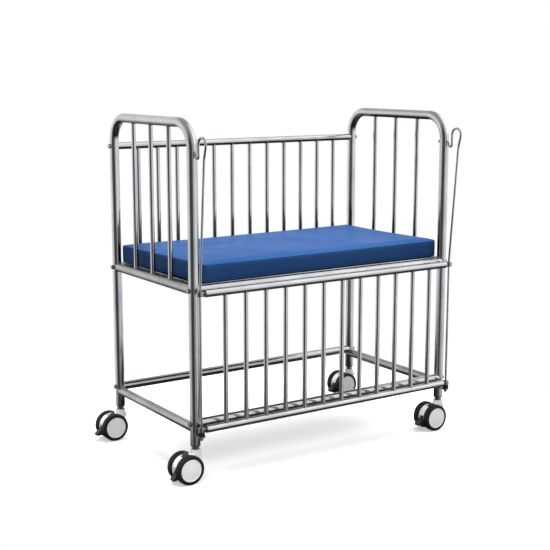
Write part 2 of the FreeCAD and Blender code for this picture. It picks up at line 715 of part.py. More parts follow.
def caster_socket(x, y):
    """Plug in the foot of the post, threaded for the stem."""
    flange_low = at(x, y, post_foot_height - socket_flange_thickness)
    flange = rod(post_radius, flange_low, at(x, y, post_foot_height))
    rim_edge = [edge for edge in flange.Edges if edge.Curve.TypeId == "Part::GeomCircle"
                and edge.CenterOfMass.z < post_foot_height - 1]
    flange = flange.makeFillet(socket_flange_thickness * 0.6, rim_edge)
    plug_top = at(x, y, post_foot_height + socket_length)
    plug = rod(post_radius - tube_wall, at(x, y, post_foot_height), plug_top)
    thread = rod(stem_diameter / 2 + thread_clearance, at(x, y, 0), plug_top)
    return flange.fuse(plug).cut(thread)


# ---------------------------------------------------------------- build every node
os.makedirs("parts", exist_ok=True)

for name, side in (("left", -1), ("right", 1)):
    save(name + "_hoop", hoop(side * half_x))
    save(name + "_deck_rail", cross_rail(side * half_x, deck_rail_height))
    save(name + "_base_rail", cross_rail(side * half_x, base_cross_rail_height))
    save(name + "_guide_rod", guide_rod(side * half_x))
save("end_spindles", *(end_spindles(-half_x) + end_spindles(half_x)))

for name, y in (("front", -half_y), ("rear", half_y)):
    save(name + "_deck_rail", deck_rail(y))
    save(name + "_base_rail", long_rail(y, base_long_rail_height, rail_diameter))
save("rear_top_rail", long_rail(half_y, rear_top_rail_height, side_rail_diameter))
save("rear_bars", *upright_bars(half_y, deck_rail_height, rail_radius,
                                rear_top_rail_height, side_rail_radius))

frame_bolts, rail_inserts = frame_bolts_and_inserts()
save("frame_bolts", *frame_bolts)
save("rail_inserts", *rail_inserts)

save("mattress_deck", mattress_deck())
save("deck_ribs", *deck_ribs())
save("deck_fasteners", *deck_fasteners())
save("mattress", mattress())

save("rod_brackets", rod_bracket(-half_x), rod_bracket(half_x))
save("rod_bumpers", rod_bumper(-half_x), rod_bumper(half_x))
save("rod_nuts", *(rod_nuts(-half_x) + rod_nuts(half_x)))

save("side_top_rail", side_rail(side_top_height))
save("side_bottom_rail", side_rail(side_bottom_height))
save("side_bars", *upright_bars(rod_y, side_bottom_height, side_rail_radius,
                                side_top_height, side_rail_radius))
side_bore = side_rail_radius - tube_wall
save("upper_eyes", *[eye(side, side_top_height, side_bore, 0) for side in (-1, 1)])
save("lower_eyes", *[eye(side, side_bottom_height, side_bore - turning_clearance, face_clearance)
                     for side in (-1, 1)])

corners = {"front_left": (-half_x, -half_y), "rear_left": (-half_x, half_y),
           "front_right": (half_x, -half_y), "rear_right": (half_x, half_y)}
save("caster_stems", *[caster_stem(x, y) for x, y in corners.values()])
save("caster_sockets", *[caster_socket(x, y) for x, y in corners.values()])
for corner, (x, y) in corners.items():
    outward = 1 if y > 0 else -1
    tipped = pedal_travel if corner == "front_left" else 0
    save(corner + "_housing", caster_housing(x, y))
    save(corner + "_pins", *caster_pins(x, y))
    save(corner + "_pedal", brake_pedal(x, y, tipped))
    save(corner + "_outer_tyre", tyre(x, y, outward))
    save(corner + "_outer_rim", rim(x, y, outward))
    save(corner + "_inner_tyre", tyre(x, y, -outward))
    save(corner + "_inner_rim", rim(x, y, -outward))
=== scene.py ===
# %% [markdown]
# # Dressing a child's hospital cot
#
# The cot is a frame of stainless-steel tube with two hooped ends, a fixed barred rear side, a drop side that
# slides on two bent rods, a foam mattress in a vinyl cover and four twin-wheel casters. Its rigid parts come
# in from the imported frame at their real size, in metres. This notebook gives each of them its finish, models
# what is soft or too fine for the frame, and sets up a small studio to look at it in.

# %% Load the frame
import math

import bmesh
import bpy
from mathutils import Matrix, Vector


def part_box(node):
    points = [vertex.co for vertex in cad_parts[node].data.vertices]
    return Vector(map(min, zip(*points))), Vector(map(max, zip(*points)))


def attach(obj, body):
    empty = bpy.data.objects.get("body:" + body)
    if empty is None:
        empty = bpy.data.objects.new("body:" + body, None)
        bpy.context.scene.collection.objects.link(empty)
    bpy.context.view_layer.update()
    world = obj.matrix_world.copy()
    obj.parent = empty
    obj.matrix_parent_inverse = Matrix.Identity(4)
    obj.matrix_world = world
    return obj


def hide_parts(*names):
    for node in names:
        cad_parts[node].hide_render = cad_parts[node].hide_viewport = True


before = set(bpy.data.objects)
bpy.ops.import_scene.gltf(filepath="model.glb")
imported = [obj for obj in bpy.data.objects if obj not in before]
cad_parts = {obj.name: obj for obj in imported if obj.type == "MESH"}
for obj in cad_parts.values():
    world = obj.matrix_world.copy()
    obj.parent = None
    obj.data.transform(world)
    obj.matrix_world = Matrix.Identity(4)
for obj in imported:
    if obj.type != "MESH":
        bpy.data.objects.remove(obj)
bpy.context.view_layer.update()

# %% [markdown]
# ## The camera
#
# It stands a little over four metres from the middle of the cot, in front of its left end, at the height of a
# standing adult's chest, and looks slightly down. The lens is long, so that the posts stay nearly parallel.

# %% Camera
CAMERA_PLACE = (-2.33245, -3.50451, 1.3567)
CAMERA_YAW = 33.573         # degrees, turned right from looking straight at the cot's front
CAMERA_PITCH = 10.019       # degrees down
CAMERA_LENS = 76.01         # mm, as is the sensor's width
SENSOR_WIDTH = 36.0

camera_data = bpy.data.cameras.new("camera")
camera_data.lens = CAMERA_LENS
camera_data.sensor_width = SENSOR_WIDTH
camera = bpy.data.objects.new("camera", camera_data)
camera.location = CAMERA_PLACE
camera.rotation_euler = (math.radians(90 - CAMERA_PITCH), 0.0, math.radians(-CAMERA_YAW))
bpy.context.scene.collection.objects.link(camera)
bpy.context.scene.camera = camera
bpy.context.scene.view_settings.view_transform = "Standard"
print("camera stands", round(Vector(CAMERA_PLACE).length, 2), "m from the cot's foot")

# %% [markdown]
# ## Places to build from
#
# Every piece made here is placed from the boxes of the frame's own nodes, so that it follows them when a size
# changes. A tube's centre line and radius come from its box.

# %% Measure the frame
MM = 0.001


def across(node, axis):
    """Middle and half width of a node's box along one axis."""
    low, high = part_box(node)
    return (low[axis] + high[axis]) / 2, (high[axis] - low[axis]) / 2


left_x, post_radius = across("left_hoop", 0)
right_x = across("right_hoop", 0)[0]
hoop_low, hoop_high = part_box("left_hoop")
front_y = hoop_low.y + post_radius
rear_y = hoop_high.y - post_radius
hoop_line = hoop_high.z - post_radius
bar_radius = across("rear_bars", 1)[1]
mattress_low, mattress_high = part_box("mattress")
print("posts at x", round(left_x, 4), round(right_x, 4), "y", round(front_y, 4), round(rear_y, 4))

# %% Helpers for shapes
def linked(name, mesh):
    """New object for a bmesh, at the origin."""
    data = bpy.data.meshes.new(name)
    bmesh.ops.recalc_face_normals(mesh, faces=mesh.faces)
    mesh.to_mesh(data)
    mesh.free()
    thing = bpy.data.objects.new(name, data)
    bpy.context.scene.collection.objects.link(thing)
    return thing


def shade_smooth(thing):
    """Shade every face of an object as part of a round surface."""
    for face in thing.data.polygons:
        face.use_smooth = True


# %% [markdown]
# ## Colours and nodes
#
# Colours are written as the sRGB hex values that a paint program shows, and turned to the linear light that
# the renderer works in. A material is a small graph. One helper adds a node with its settings and links, so
# that a finish reads from top to bottom, and another clears the graph that a new material comes with.

# %% Helpers for finishes
def linear(hex_colour):
    """Linear RGBA of an sRGB hex colour."""
    shares = [int(hex_colour[k:k + 2], 16) / 255 for k in (1, 3, 5)]
    return [c / 12.92 if c <= 0.04045 else ((c + 0.055) / 1.055) ** 2.4 for c in shares] + [1.0]


def add(tree, kind, sockets, output=0, **settings):
    """Add a node, set its properties, set or link its sockets, and give back one of its outputs."""
    node = tree.nodes.new("ShaderNode" + kind)
    for name, value in settings.items():
        setattr(node, name, value)
    for key, value in sockets.items():
        if isinstance(value, bpy.types.NodeSocket):
            tree.links.new(value, node.inputs[key])
        else:
            node.inputs[key].default_value = value
    return node.outputs[output] if len(node.outputs) else None


def empty_tree(owner):
    """Switch a material or world to nodes and clear what it came with."""
    owner.use_nodes = True
    owner.node_tree.nodes.clear()
    return owner.node_tree


def repeats(size_x, size_y, size_z):
    """Mapping scale for a pattern whose features have these sizes in metres."""
    return (1 / size_x, 1 / size_y, 1 / size_z)


# %% [markdown]
# ## Stainless-steel tube
#
# The frame is austenitic stainless tube. A mill polishes it by passing it through turning abrasive belts, so
# the finest marks run round the tube, and the polish wanders a little along its length. That gives sharp
# streaks of reflected studio along the tube, broken up very slightly. The marks are far finer than a pixel,
# so they are drawn a few millimetres apart. Handling leaves soft smudges of higher roughness.
# Rails that are only brushed have deeper marks and a flat satin sheen.

# %% Steel finishes
BELT_MARK = 2.5 * MM        # a real mark is about a tenth of this
BELT_WANDER = 45 * MM       # length over which the polish wanders
SMUDGE = 90 * MM
LEVEL_BLEND = 20 * MM       # above and below the height where a hoop's marks turn with its bend
HOOP_TURN = 25 * MM         # from that height up to the centre line of the hoop's top
MARK_SIZES = {"X": (BELT_MARK, BELT_WANDER, BELT_WANDER), "Y": (BELT_WANDER, BELT_MARK, BELT_WANDER),
              "Z": (BELT_WANDER, BELT_WANDER, BELT_MARK)}


def steel(name, clean, smudged, roughness, along, mark_depth=0.02 * MM, marks_above=None):
    """Stainless steel whose tube runs along X, Y or Z, and above a given height along Y."""
    material = bpy.data.materials.new(name)
    tree = empty_tree(material)
    place = add(tree, "TexCoord", {}, "Object")
    belt = add(tree, "Mapping", {"Vector": place, "Scale": repeats(*MARK_SIZES[along])})
    marks = add(tree, "TexNoise", {"Vector": belt, "Scale": 1.0, "Detail": 3.0, "Roughness": 0.6})
    if marks_above:
        height = add(tree, "SeparateXYZ", {"Vector": place}, "Z")
        level = add(tree, "MapRange", {"Value": height, "From Min": marks_above - LEVEL_BLEND,
                                       "From Max": marks_above + LEVEL_BLEND})
        level_belt = add(tree, "Mapping", {"Vector": place, "Scale": repeats(*MARK_SIZES["Y"])})
        level_marks = add(tree, "TexNoise", {"Vector": level_belt, "Scale": 1.0, "Detail": 3.0,
                                             "Roughness": 0.6})
        marks = add(tree, "Mix", {0: level, 2: marks, 3: level_marks}, data_type="FLOAT")
    hands = add(tree, "Mapping", {"Vector": place, "Scale": repeats(SMUDGE, SMUDGE, SMUDGE)})
    smudge = add(tree, "TexNoise", {"Vector": hands, "Scale": 1.0, "Detail": 4.0, "Roughness": 0.55})
    amount = add(tree, "MapRange", {"Value": smudge, "From Min": 0.35, "From Max": 0.65})
    colour = add(tree, "Mix", {0: amount, 6: linear(clean), 7: linear(smudged)}, 2, data_type="RGBA")
    worn = add(tree, "MapRange", {"Value": smudge, "From Min": 0.3, "From Max": 0.7,
                                  "To Min": roughness * 0.8, "To Max": roughness * 1.3})
    grained = add(tree, "MapRange", {"Value": marks, "From Min": 0.3, "From Max": 0.7,
                                     "To Min": -roughness * 0.2, "To Max": roughness * 0.2})
    total = add(tree, "Math", {0: worn, 1: grained}, operation="ADD")
    normal = add(tree, "Bump", {"Height": marks, "Distance": mark_depth})
    shader = add(tree, "BsdfPrincipled", {"Base Color": colour, "Metallic": 1.0, "Roughness": total,
                                          "Normal": normal})
    add(tree, "OutputMaterial", {"Surface": shader})
    return material


hoop_steel = steel("polished_stainless_hoop", "#D3D5D7", "#C3C5C8", 0.11, "Z",
                   marks_above=hoop_line - HOOP_TURN)
bar_steel = steel("polished_stainless_bar", "#D0D2D4", "#BFC2C5", 0.11, "Z")
side_rail_steel = steel("polished_stainless_side_rail", "#D0D2D4", "#BFC2C5", 0.15, "X")
long_rail_steel = steel("polished_stainless_long_rail", "#CBCDCF", "#B9BBBE", 0.15, "X")
cross_rail_steel = steel("satin_stainless_cross_rail", "#BEBFC1", "#ADAFB2", 0.32, "Y", 0.05 * MM)
rod_steel = steel("bright_drawn_rod", "#C4C6C8", "#B2B4B7", 0.16, "Z", 0.01 * MM)
eye_steel = steel("cast_stainless_eye", "#A9ABAD", "#93969A", 0.27, "X", 0.05 * MM)
fastener_steel = steel("turned_stainless_fastener", "#B0B2B4", "#989B9E", 0.25, "X")
deck_steel = steel("cold_rolled_stainless_sheet", "#BEC0C2", "#ADAFB2", 0.30, "Y", 0.03 * MM)
weld_steel = steel("brushed_tig_weld", "#B3B0AA", "#8F8D8A", 0.28, "X", 0.05 * MM)
print("steel finishes:", len(bpy.data.materials))

# %% [markdown]
# ## Plastics and rubber of the casters
#
# The wheel discs are injection-moulded polypropylene, the fork housings glass-filled nylon, the brake rockers
# the same nylon in charcoal, and the treads thermoplastic rubber. Moulded plastic has a fine spark-eroded
# texture that softens its gloss, and a tread is dull where it rolls, with a bloom of floor dust.

# %% Moulded finishes
MOULD_GRAIN = 1.2 * MM      # the real texture is about a quarter of this, too fine to show
DUST_PATCH = 35 * MM


def moulded(name, clean, dusty, roughness, gloss=0.5, grain_depth=0.03 * MM):
    """Moulded plastic or rubber with a fine texture and a little dust."""
    material = bpy.data.materials.new(name)
    tree = empty_tree(material)
    place = add(tree, "TexCoord", {}, "Object")
    floor_dust = add(tree, "Mapping", {"Vector": place, "Scale": repeats(DUST_PATCH, DUST_PATCH, DUST_PATCH)})
    dust = add(tree, "TexNoise", {"Vector": floor_dust, "Scale": 1.0, "Detail": 5.0, "Roughness": 0.6})
    amount = add(tree, "MapRange", {"Value": dust, "From Min": 0.45, "From Max": 0.75})
    colour = add(tree, "Mix", {0: amount, 6: linear(clean), 7: linear(dusty)}, 2, data_type="RGBA")
    sheen = add(tree, "MapRange", {"Value": dust, "From Min": 0.3, "From Max": 0.7,
                                   "To Min": roughness * 0.85, "To Max": roughness * 1.2})
    eroded = add(tree, "Mapping", {"Vector": place, "Scale": repeats(MOULD_GRAIN, MOULD_GRAIN, MOULD_GRAIN)})
    grain = add(tree, "TexNoise", {"Vector": eroded, "Scale": 1.0, "Detail": 2.0})
    normal = add(tree, "Bump", {"Height": grain, "Distance": grain_depth})
    shader = add(tree, "BsdfPrincipled", {"Base Color": colour, "Roughness": sheen, "Normal": normal,
                                          "Specular IOR Level": gloss})
    add(tree, "OutputMaterial", {"Surface": shader})
    return material


disc_plastic = moulded("polypropylene_wheel_disc", "#E7E7E6", "#DCDCDA", 0.38)
housing_plastic = moulded("nylon_fork_housing", "#EBEBE9", "#DEDEDB", 0.34)
pedal_plastic = moulded("charcoal_nylon_rocker", "#26282A", "#37393B", 0.46)
tread_rubber = moulded("thermoplastic_rubber_tread", "#131516", "#242526", 0.55, gloss=0.35)
bumper_rubber = moulded("natural_rubber_bumper", "#161718", "#262727", 0.7, gloss=0.35)
plug_plastic = moulded("black_polyethylene_plug", "#1A1B1C", "#29292A", 0.5)
print("finishes so far:", len(bpy.data.materials))

# %% [markdown]
# ## Giving the frame's nodes their finishes
#
# The nodes keep their shapes. Each one's material slot is filled with the finish of the real piece.

# %% Assign finishes
caster_corners = ("front_left", "rear_left", "front_right", "rear_right")
finish_of = {
    "left_hoop": hoop_steel, "right_hoop": hoop_steel, "end_spindles": bar_steel,
    "rear_bars": bar_steel, "side_bars": bar_steel, "rear_top_rail": side_rail_steel,
    "side_top_rail": side_rail_steel, "side_bottom_rail": side_rail_steel,
    "front_deck_rail": long_rail_steel, "rear_deck_rail": long_rail_steel,
    "front_base_rail": long_rail_steel, "rear_base_rail": long_rail_steel,
    "left_deck_rail": cross_rail_steel, "right_deck_rail": cross_rail_steel,
    "left_base_rail": cross_rail_steel, "right_base_rail": cross_rail_steel,
    "left_guide_rod": rod_steel, "right_guide_rod": rod_steel, "rod_brackets": eye_steel,
    "upper_eyes": eye_steel, "lower_eyes": eye_steel, "frame_bolts": fastener_steel,
    "rail_inserts": fastener_steel, "deck_fasteners": fastener_steel, "rod_nuts": fastener_steel,
    "caster_stems": fastener_steel, "mattress_deck": deck_steel, "deck_ribs": deck_steel,
    "rod_bumpers": bumper_rubber, "caster_sockets": plug_plastic,
}
for corner in caster_corners:
    finish_of[corner + "_housing"] = housing_plastic
    finish_of[corner + "_pins"] = fastener_steel
    finish_of[corner + "_pedal"] = pedal_plastic
    for wheel in ("_outer", "_inner"):
        finish_of[corner + wheel + "_tyre"] = tread_rubber
        finish_of[corner + wheel + "_rim"] = disc_plastic

for node, finish in finish_of.items():
    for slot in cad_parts[node].material_slots:
        slot.material = finish
print("dressed nodes:", len(finish_of), "of", len(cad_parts))

# %% [markdown]
# ## Blue vinyl
#
# A hospital mattress wears a cover of knitted polyester coated with polyurethane or PVC, welded at the edges
# so that it can be wiped down. The coat has a fine leather-like grain that breaks its gloss, and it is a
# little glossier where hands and cloths have rubbed it. The knit below shows as a very faint mottle. Its
# reflection in the polished tubes is painted: glossy rays see the cover nearly black, a painted dark
# reflection that keeps the bars from turning blue beside the mattress.

# %% Vinyl finish
VINYL_GRAIN = 2.2 * MM      # a real pebble is about a third of this
PEBBLE_DEPTH = 0.06 * MM
VINYL_RUB = 160 * MM
VINYL_GLOSS = 0.08          # low, because the coat hardly mirrors the studio
# painted reflection: the nearly black colour that glossy rays see on the cover instead of its blue
VINYL_PAINTED_REFLECTION = "#060B12"


def vinyl(name, clean, rubbed, roughness):
    """Wipe-clean coated cloth."""
    material = bpy.data.materials.new(name)
    tree = empty_tree(material)
    place = add(tree, "TexCoord", {}, "Object")
    wiped = add(tree, "Mapping", {"Vector": place, "Scale": repeats(VINYL_RUB, VINYL_RUB, VINYL_RUB)})
    rub = add(tree, "TexNoise", {"Vector": wiped, "Scale": 1.0, "Detail": 4.0, "Roughness": 0.5})
    amount = add(tree, "MapRange", {"Value": rub, "From Min": 0.35, "From Max": 0.65})
    colour = add(tree, "Mix", {0: amount, 6: linear(clean), 7: linear(rubbed)}, 2, data_type="RGBA")
    # Painted reflection: glossy rays see the cover in the painted dark colour, not its own blue.
    mirrored = add(tree, "LightPath", {}, "Is Glossy Ray")
    shown = add(tree, "Mix", {0: mirrored, 6: colour, 7: linear(VINYL_PAINTED_REFLECTION)}, 2, data_type="RGBA")
    sheen = add(tree, "MapRange", {"Value": rub, "From Min": 0.3, "From Max": 0.7,
                                   "To Min": roughness * 1.1, "To Max": roughness * 0.85})
    pebbled = add(tree, "Mapping", {"Vector": place, "Scale": repeats(VINYL_GRAIN, VINYL_GRAIN, VINYL_GRAIN)})
    pebble = add(tree, "TexVoronoi", {"Vector": pebbled, "Scale": 1.0, "Randomness": 1.0},
                 feature="SMOOTH_F1")
    normal = add(tree, "Bump", {"Height": pebble, "Distance": PEBBLE_DEPTH})
    shader = add(tree, "BsdfPrincipled", {"Base Color": shown, "Roughness": sheen, "Normal": normal,
                                          "Specular IOR Level": VINYL_GLOSS})
    add(tree, "OutputMaterial", {"Surface": shader})
    return material


cover_vinyl = vinyl("polyurethane_coated_cover", "#183660", "#1B3963", 0.5)
piping_vinyl = vinyl("welded_vinyl_piping", "#1B3A66", "#1E3E6A", 0.42)

# %% [markdown]
# ## The mattress cover
#
# The foam inside is a plain block, so the cover keeps its outline, but the air and the foam's spring push its
# top up into a low crown, and that pulls the long sides in between the corners. It could be sculpted by hand.
# A short cloth simulation is closer to the truth: a slightly smaller block is covered with an even net of
# squares, held fast along the welded edges and underneath, and blown up with a little pressure. How far a
# point may move is capped, because foam under the cover stops it from ballooning. All this is done square,
# and the finished cover's corners are then moved to where the mattress has been pushed on its deck. Each ends
# 8 to 12 mm from the corner of the frame's plain block, as soft foam can.

# %% Outline of the cover
CORNER_RADIUS = 8 * MM
EDGE_RADIUS = 4.5 * MM
SWELL_ROOM = 0.5 * MM       # the block starts smaller by this at the sides
RIM_RISE = 1 * MM           # and higher by this, because the welded edge stands up from the foam
PULL_IN = 2.5 * MM          # of a long side at its middle
END_PULL = 0.6              # share of it at the middle of a short side
BLOCK_SKEW = 18 * MM        # how far the block's front edge lies to the right of its rear edge
# Millimetres by which each corner moves along X and Y, by its side in X and in Y
CORNER_STEPS = {(-1, -1): (17, -2), (1, -1): (18, 8), (-1, 1): (-17, 0), (1, 1): (3, 0)}
cover_middle = (mattress_low + mattress_high) / 2
cover_half = (mattress_high - mattress_low) / 2
cover_half.x -= BLOCK_SKEW / 2


def kept_in(point):
    """Hold a point inside the upright sides of the foam."""
    for axis in (0, 1):
        low = cover_middle[axis] - cover_half[axis]
        high = cover_middle[axis] + cover_half[axis]
        point[axis] = min(max(point[axis], low), high)


def pushed(point):
    """Move a point of the square cover with the corners, by how near it is to each."""
    share_x = (point.x - cover_middle.x) / cover_half.x
    share_y = (point.y - cover_middle.y) / cover_half.y
    for (side_x, side_y), (step_x, step_y) in CORNER_STEPS.items():
        weight = (1 + side_x * share_x) * (1 + side_y * share_y) / 4
        point.x += step_x * MM * weight
        point.y += step_y * MM * weight


def pulled_in(point):
    """Move a point of the cover inwards as the crown pulls the sides in between the corners."""
    share_x = (point.x - cover_middle.x) / cover_half.x
    share_y = (point.y - cover_middle.y) / cover_half.y
    point.y -= PULL_IN * (1 - share_x ** 2) * share_y
    point.x -= PULL_IN * END_PULL * (1 - share_y ** 2) * share_x


def rise_of(edge):
    """Height difference between an edge's ends."""
    return abs(edge.verts[0].co.z - edge.verts[1].co.z)


def mattress_block():
    """Block with round corners and round rims, a little smaller than the finished mattress."""
    mesh = bmesh.new()
    bmesh.ops.create_cube(mesh, size=2.0)
    start_half = cover_half - Vector((SWELL_ROOM, SWELL_ROOM, -RIM_RISE / 2))
    bmesh.ops.scale(mesh, vec=start_half, verts=mesh.verts)
    bmesh.ops.translate(mesh, vec=cover_middle + Vector((0, 0, RIM_RISE / 2)), verts=mesh.verts)
    upright = [edge for edge in mesh.edges if rise_of(edge) > CORNER_RADIUS]
    bmesh.ops.bevel(mesh, geom=upright, offset=CORNER_RADIUS, segments=6, profile=0.5, affect="EDGES",
                    material=-1)
    rims = [edge for edge in mesh.edges if rise_of(edge) < MM]
    bmesh.ops.bevel(mesh, geom=rims, offset=EDGE_RADIUS, segments=3, profile=0.5, affect="EDGES", material=-1)
    return mesh


# %% Blow the cover up
COVER_NET = 7.5 * MM        # width of one square of the net
COVER_CAP = 5 * MM          # the farthest that a point may move
COVER_PRESSURE = 4.0
SWELL_FRAMES = 20
HELD_FOOT = 0.6             # share of the edge radius up to which the deck holds the cover


def as_shown(thing):
    """Mesh of an object with its modifiers applied."""
    bpy.context.view_layer.update()
    shown = thing.evaluated_get(bpy.context.evaluated_depsgraph_get())
    return bpy.data.meshes.new_from_object(shown)


def netted(thing):
    """Cover an object with an even net of squares."""
    remesh = thing.modifiers.new("net", "REMESH")
    remesh.mode = "VOXEL"
    remesh.voxel_size = COVER_NET
    data = as_shown(thing)
    thing.modifiers.clear()
    thing.data = data


def held_points(data):
    """Points that the weld and the deck hold: the rims and everything near the underside."""
    low = mattress_low.z + EDGE_RADIUS * HELD_FOOT
    high = mattress_high.z - EDGE_RADIUS
    held = []
    for vertex in data.vertices:
        away = vertex.co - cover_middle
        near_side = abs(away.x) > cover_half.x - EDGE_RADIUS or abs(away.y) > cover_half.y - EDGE_RADIUS
        if vertex.co.z < low or (near_side and vertex.co.z > high):
            held.append(vertex.index)
    return held


def blown_up(thing):
    """Run the cloth simulation and write its capped result to the mesh."""
    group = thing.vertex_groups.new(name="held")
    group.add(held_points(thing.data), 1.0, "REPLACE")
    cloth = thing.modifiers.new("swell", "CLOTH")
    cloth.settings.use_pressure = True
    cloth.settings.uniform_pressure_force = COVER_PRESSURE
    cloth.settings.effector_weights.gravity = 0.0
    cloth.settings.vertex_group_mass = "held"
    cloth.point_cache.frame_start = 1
    cloth.point_cache.frame_end = SWELL_FRAMES
    for step in range(1, SWELL_FRAMES + 1):
        bpy.context.scene.frame_set(step)
    swollen = as_shown(thing)
    for vertex, moved in zip(thing.data.vertices, swollen.vertices):
        move = moved.co - vertex.co
        if move.length > COVER_CAP:
            move *= COVER_CAP / move.length
        vertex.co += move
    thing.modifiers.clear()
    thing.vertex_groups.clear()
    bpy.data.meshes.remove(swollen)
    bpy.context.scene.frame_set(1)


mattress_cover = linked("mattress_cover", mattress_block())
netted(mattress_cover)
blown_up(mattress_cover)
for vertex in mattress_cover.data.vertices:
    kept_in(vertex.co)
    pulled_in(vertex.co)
    pushed(vertex.co)
    vertex.co.z = max(vertex.co.z, mattress_low.z)
smooth = mattress_cover.modifiers.new("smooth", "SUBSURF")
smooth.levels = 1
smooth.render_levels = 1
shade_smooth(mattress_cover)
mattress_cover.data.materials.append(cover_vinyl)
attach(mattress_cover, "mattress")
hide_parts("mattress")
print("cover faces:", len(mattress_cover.data.polygons))

# %% [markdown]
# ## Piping
#
# The top and side panels of the cover are joined in a welded seam with a thin cord inside it. It is a closed
# loop of round section that follows the rounded outline, so a curve with a bevel depth makes it.

# %% Piping round the top and the bottom
PIPING_RADIUS = 1.6 * MM
PIPING_INSET = 1.5 * MM
PIPING_SUNK = 0.9 * MM      # of the cord's middle under the cover
BELOW_TOP = 3.2 * MM        # of the upper loop, from the top of the block
ABOVE_FOOT = 4.5 * MM       # of the lower loop, from the underside of the block
SEAM_CUTS = 14              # points between the ends of each straight side


def seam_outline():
    """Ordered points of the cover's rounded outline."""
    mesh = bmesh.new()
    bmesh.ops.create_grid(mesh, x_segments=1, y_segments=1, size=1.0)
    bmesh.ops.scale(mesh, vec=cover_half - Vector((PIPING_INSET, PIPING_INSET, 0)), verts=mesh.verts)
    bmesh.ops.translate(mesh, vec=cover_middle, verts=mesh.verts)
    bmesh.ops.bevel(mesh, geom=mesh.verts, offset=CORNER_RADIUS, segments=8, profile=0.5,
                    affect="VERTICES", material=-1)
    long_edges = [edge for edge in mesh.edges if edge.calc_length() > 2 * CORNER_RADIUS]
    bmesh.ops.subdivide_edges(mesh, edges=long_edges, cuts=SEAM_CUTS)
    mesh.faces.ensure_lookup_table()
    points = [vertex.co.copy() for vertex in mesh.faces[0].verts]
    mesh.free()
    for point in points:
        pushed(point)
    return points


def piping(heights):
    """Thin welded cord on the cover's surface, all round it near each of the heights."""
    line = bpy.data.curves.new("mattress_piping", "CURVE")
    line.dimensions = "3D"
    line.bevel_depth = PIPING_RADIUS
    line.bevel_resolution = 2
    outline = seam_outline()
    for height in heights:
        spline = line.splines.new("POLY")
        spline.points.add(len(outline) - 1)
        for place, point in zip(spline.points, outline):
            on_cover = mattress_cover.closest_point_on_mesh(Vector((point.x, point.y, height)))[1]
            inward = (cover_middle - on_cover).normalized()
            place.co = (*(on_cover + inward * PIPING_SUNK), 1.0)
        spline.use_cyclic_u = True
    loop = bpy.data.objects.new("piping_line", line)
    data = bpy.data.meshes.new_from_object(loop)
    bpy.data.objects.remove(loop)
    cord = bpy.data.objects.new("mattress_piping", data)
    bpy.context.scene.collection.objects.link(cord)
    return cord


mattress_piping = piping((mattress_high.z - BELOW_TOP, mattress_low.z + ABOVE_FOOT))
shade_smooth(mattress_piping)
mattress_piping.data.materials.clear()
mattress_piping.data.materials.append(piping_vinyl)
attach(mattress_piping, "mattress")
print("piping faces:", len(mattress_piping.data.polygons))

# %% [markdown]
# ## Weld beads
#
# Every bar and cross rail is welded to the tube that it meets, with a thin bead of overlapping ripples all
# round the joint. The bead lies on a saddle: seen along the bar it is a circle, but it follows the round of
# the tube behind. A small circle is spun into a ring, and then each point of the ring is moved along the bar
# by the tube's own height there.

# %% One weld
BEAD_RADIUS = 1.4 * MM
BEAD_SIDES = 8
BEAD_STEPS = 48
BEAD_RIPPLES = 12
RIPPLE_HEIGHT = 0.15        # share of the bead's radius


def weld(mesh, place, radius, tube_radius, bar_direction, tube_direction):
    """Add the bead of a bar whose centre line leaves a tube's centre line at a place."""
    known = len(mesh.verts)
    turn = Matrix.Translation((radius, 0, 0)) @ Matrix.Rotation(math.pi / 2, 4, "X")
    bead = bmesh.ops.create_circle(mesh, segments=BEAD_SIDES, radius=BEAD_RADIUS, matrix=turn)["verts"]
    edges = list(dict.fromkeys(edge for vertex in bead for edge in vertex.link_edges))
    bmesh.ops.spin(mesh, geom=bead + edges, axis=(0, 0, 1), cent=(0, 0, 0), angle=2 * math.pi,
                   steps=BEAD_STEPS, use_merge=True)
    mesh.verts.ensure_lookup_table()
    ring = mesh.verts[known:]
    for vertex in ring:
        turned = math.atan2(vertex.co.y, vertex.co.x)
        middle = Vector((radius * math.cos(turned), radius * math.sin(turned), 0))
        ripple = 1 + RIPPLE_HEIGHT * math.cos(BEAD_RIPPLES * turned)
        saddle = math.sqrt(tube_radius ** 2 - middle.y ** 2)
        vertex.co = middle + (vertex.co - middle) * ripple + Vector((0, 0, saddle))
    bar_axis = Vector(bar_direction)
    tube_axis = Vector(tube_direction)
    basis = Matrix((tube_axis, bar_axis.cross(tube_axis), bar_axis)).transposed().to_4x4()
    bmesh.ops.transform(mesh, matrix=Matrix.Translation(place) @ basis, verts=ring)


def row(node, axis, count):
    """Centre lines of a row of equal bars, from the node's box."""
    low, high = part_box(node)
    first = low[axis] + bar_radius
    return [first + k * (high[axis] - bar_radius - first) / (count - 1) for k in range(count)]


def welded(name, mesh, body):
    """Finish a piece of weld beads and let it ride."""
    piece = linked(name, mesh)
    shade_smooth(piece)
    piece.data.materials.append(weld_steel)
    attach(piece, body)
    print(name, "faces:", len(piece.data.polygons))


# %% Welds of the frame and of the drop side
BAR_COUNT = 12
SPINDLE_COUNT = 3
UP, DOWN = (0, 0, 1), (0, 0, -1)
ALONG_X, ALONG_Y, AGAINST_Y = (1, 0, 0), (0, 1, 0), (0, -1, 0)


def bar_welds(mesh, bars, lower, upper):
    """Beads at both ends of the upright bars between two long rails."""
    y = across(bars, 1)[0]
    low, low_radius = across(lower, 2)
    high, high_radius = across(upper, 2)
    for x in row(bars, 0, BAR_COUNT):
        weld(mesh, (x, y, low), bar_radius, low_radius, UP, ALONG_X)
        weld(mesh, (x, y, high), bar_radius, high_radius, DOWN, ALONG_X)


